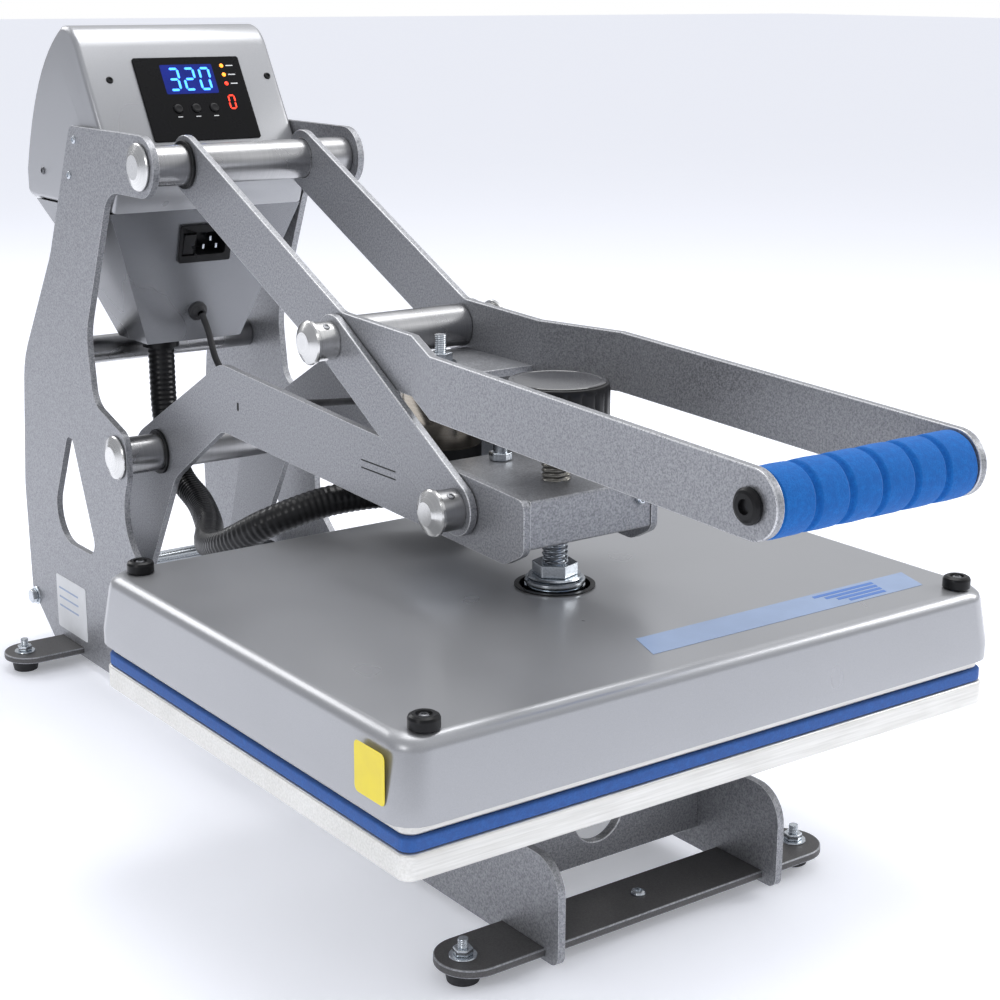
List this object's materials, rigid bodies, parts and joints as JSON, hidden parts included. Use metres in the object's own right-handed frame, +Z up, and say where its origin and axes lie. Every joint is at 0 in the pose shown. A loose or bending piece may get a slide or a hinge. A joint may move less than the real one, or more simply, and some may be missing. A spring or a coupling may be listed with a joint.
{
  "type": "clamshell heat press",
  "caption": "Auto-opening clamshell heat press with a flat rectangular platen, over-centre handle linkage, pressure screw and rear control head.",
  "frame": {"origin": "on the floor, below the middle of the machine's bounding box", "axes": "+X to the operator's right, +Y from the operator to the rear, +Z up from the floor; the operator stands on the -Y side"},
  "size_m": [0.517, 1.0394, 0.6057],
  "materials": {
    "hammertone": "silver hammertone speckle powder coat",
    "satin_silver": "smooth satin silver paint",
    "turned_steel": "turned bright steel",
    "zinc": "bright zinc plate",
    "cast_aluminium": "machined cast aluminium",
    "blue_pad": "matt blue silicone sponge",
    "blue_foam": "matt blue closed-cell foam",
    "black_rubber": "matt black rubber",
    "black_plastic": "moulded black plastic",
    "dark_panel": "gloss black display film",
    "magnet_steel": "bright steel shell",
    "spring_steel": "oiled spring steel",
    "circuit_board": "green solder mask"
  },
  "bodies": {
    "base": {"frame_plate_left": "hammertone", "frame_plate_right": "hammertone", "foot_bar_front": "hammertone", "foot_bar_rear": "hammertone", "platen_bracket_front": "hammertone", "platen_bracket_rear": "hammertone", "rubber_foot_front_left": "black_rubber", "rubber_foot_front_right": "black_rubber", "rubber_foot_rear_left": "black_rubber", "rubber_foot_rear_right": "black_rubber", "cable_grommet": "black_rubber", "heater_conduit": "black_rubber", "magnet_cable": "black_rubber", "top_shaft": "turned_steel", "rear_shaft": "turned_steel", "top_shaft_cap_left": "turned_steel", "top_shaft_cap_right": "turned_steel", "rear_shaft_cap_left": "turned_steel", "rear_shaft_cap_right": "turned_steel", "rear_cross_tube": "turned_steel", "spring_anchor_bar": "zinc", "lower_platen": "cast_aluminium", "platen_pad": "blue_pad", "head_shell": "satin_silver", "head_chassis": "satin_silver", "display_panel": "dark_panel", "control_board": "circuit_board", "power_inlet": "black_plastic", "lift_spring_left": "spring_steel", "lift_spring_right": "spring_steel"},
    "press_arm": {"press_arm_left": "hammertone", "press_arm_right": "hammertone", "head_block": "hammertone", "front_pivot_shaft": "turned_steel", "magnet_seat": "zinc", "electromagnet": "magnet_steel", "stop_bolt": "zinc", "tail_bar": "zinc"},
    "heat_head": {"heat_platen": "cast_aluminium", "platen_cover": "satin_silver", "swivel_collar": "zinc", "cover_bumper_front_left": "black_plastic", "cover_bumper_front_right": "black_plastic", "cover_bumper_rear_left": "black_plastic", "cover_bumper_rear_right": "black_plastic"},
    "screw": {"pressure_screw": "zinc", "pressure_knob": "black_plastic"},
    "handle": {"handle_plate_left": "hammertone", "handle_plate_right": "hammertone", "strike_carrier": "hammertone", "strike_disc": "zinc", "mid_shaft": "turned_steel", "handle_grip": "blue_foam", "grip_rod": "black_plastic"},
    "toggle_links": {"toggle_link_left": "hammertone", "toggle_link_right": "hammertone"},
    "button_left": {"display_button_left": "black_plastic"},
    "button_middle": {"display_button_middle": "black_plastic"},
    "button_right": {"display_button_right": "black_plastic"},
    "rocker": {"power_switch": "black_plastic"}
  },
  "joints": [
    {"name": "arm_lift", "type": "hinge", "parent": "base", "child": "press_arm", "pos_m": [0, 0.30185, 0.227], "axis": [-1, 0, 0], "range_deg": [0, 43.04], "deforming": ["heater_conduit", "lift_spring_left", "lift_spring_right", "magnet_cable"]},
    {"name": "handle_swing", "type": "hinge", "parent": "base", "child": "handle", "pos_m": [0, 0.22985, 0.491], "axis": [-1, 0, 0], "range_deg": [0, 90.2]},
    {"name": "toggle_swing", "type": "hinge", "parent": "press_arm", "child": "toggle_links", "pos_m": [0, -0.17815, 0.282], "axis": [1, 0, 0], "range_deg": [0, 60.5]},
    {"name": "platen_height", "type": "slide", "parent": "press_arm", "child": "heat_head", "axis": [0, 0, 1], "range_m": [0, 0.006]},
    {"name": "pressure_turn", "type": "hinge", "parent": "heat_head", "child": "screw", "pos_m": [0, -0.20915, 0.3], "axis": [0, 0, 1], "range_deg": [0, 1080.1]},
    {"name": "press_button_left", "type": "slide", "parent": "base", "child": "button_left", "axis": [0, 0.8612, -0.5083], "range_m": [0, 0.0012], "stiffness_N_per_m": 400},
    {"name": "press_button_middle", "type": "slide", "parent": "base", "child": "button_middle", "axis": [0, 0.8612, -0.5083], "range_m": [0, 0.0012], "stiffness_N_per_m": 400},
    {"name": "press_button_right", "type": "slide", "parent": "base", "child": "button_right", "axis": [0, 0.8612, -0.5083], "range_m": [0, 0.0012], "stiffness_N_per_m": 400},
    {"name": "rocker_tilt", "type": "hinge", "parent": "base", "child": "rocker", "pos_m": [-0.017, 0.31493, 0.412], "axis": [-1, 0, 0], "range_deg": [0, 16]}
  ],
  "couplings": [
    {"joint": "handle_swing", "follows": "arm_lift", "ratio": 2.0911},
    {"joint": "toggle_swing", "follows": "arm_lift", "ratio": 1.3996},
    {"joint": "pressure_turn", "follows": "platen_height", "rad_per_m": 3141.6}
  ]
}
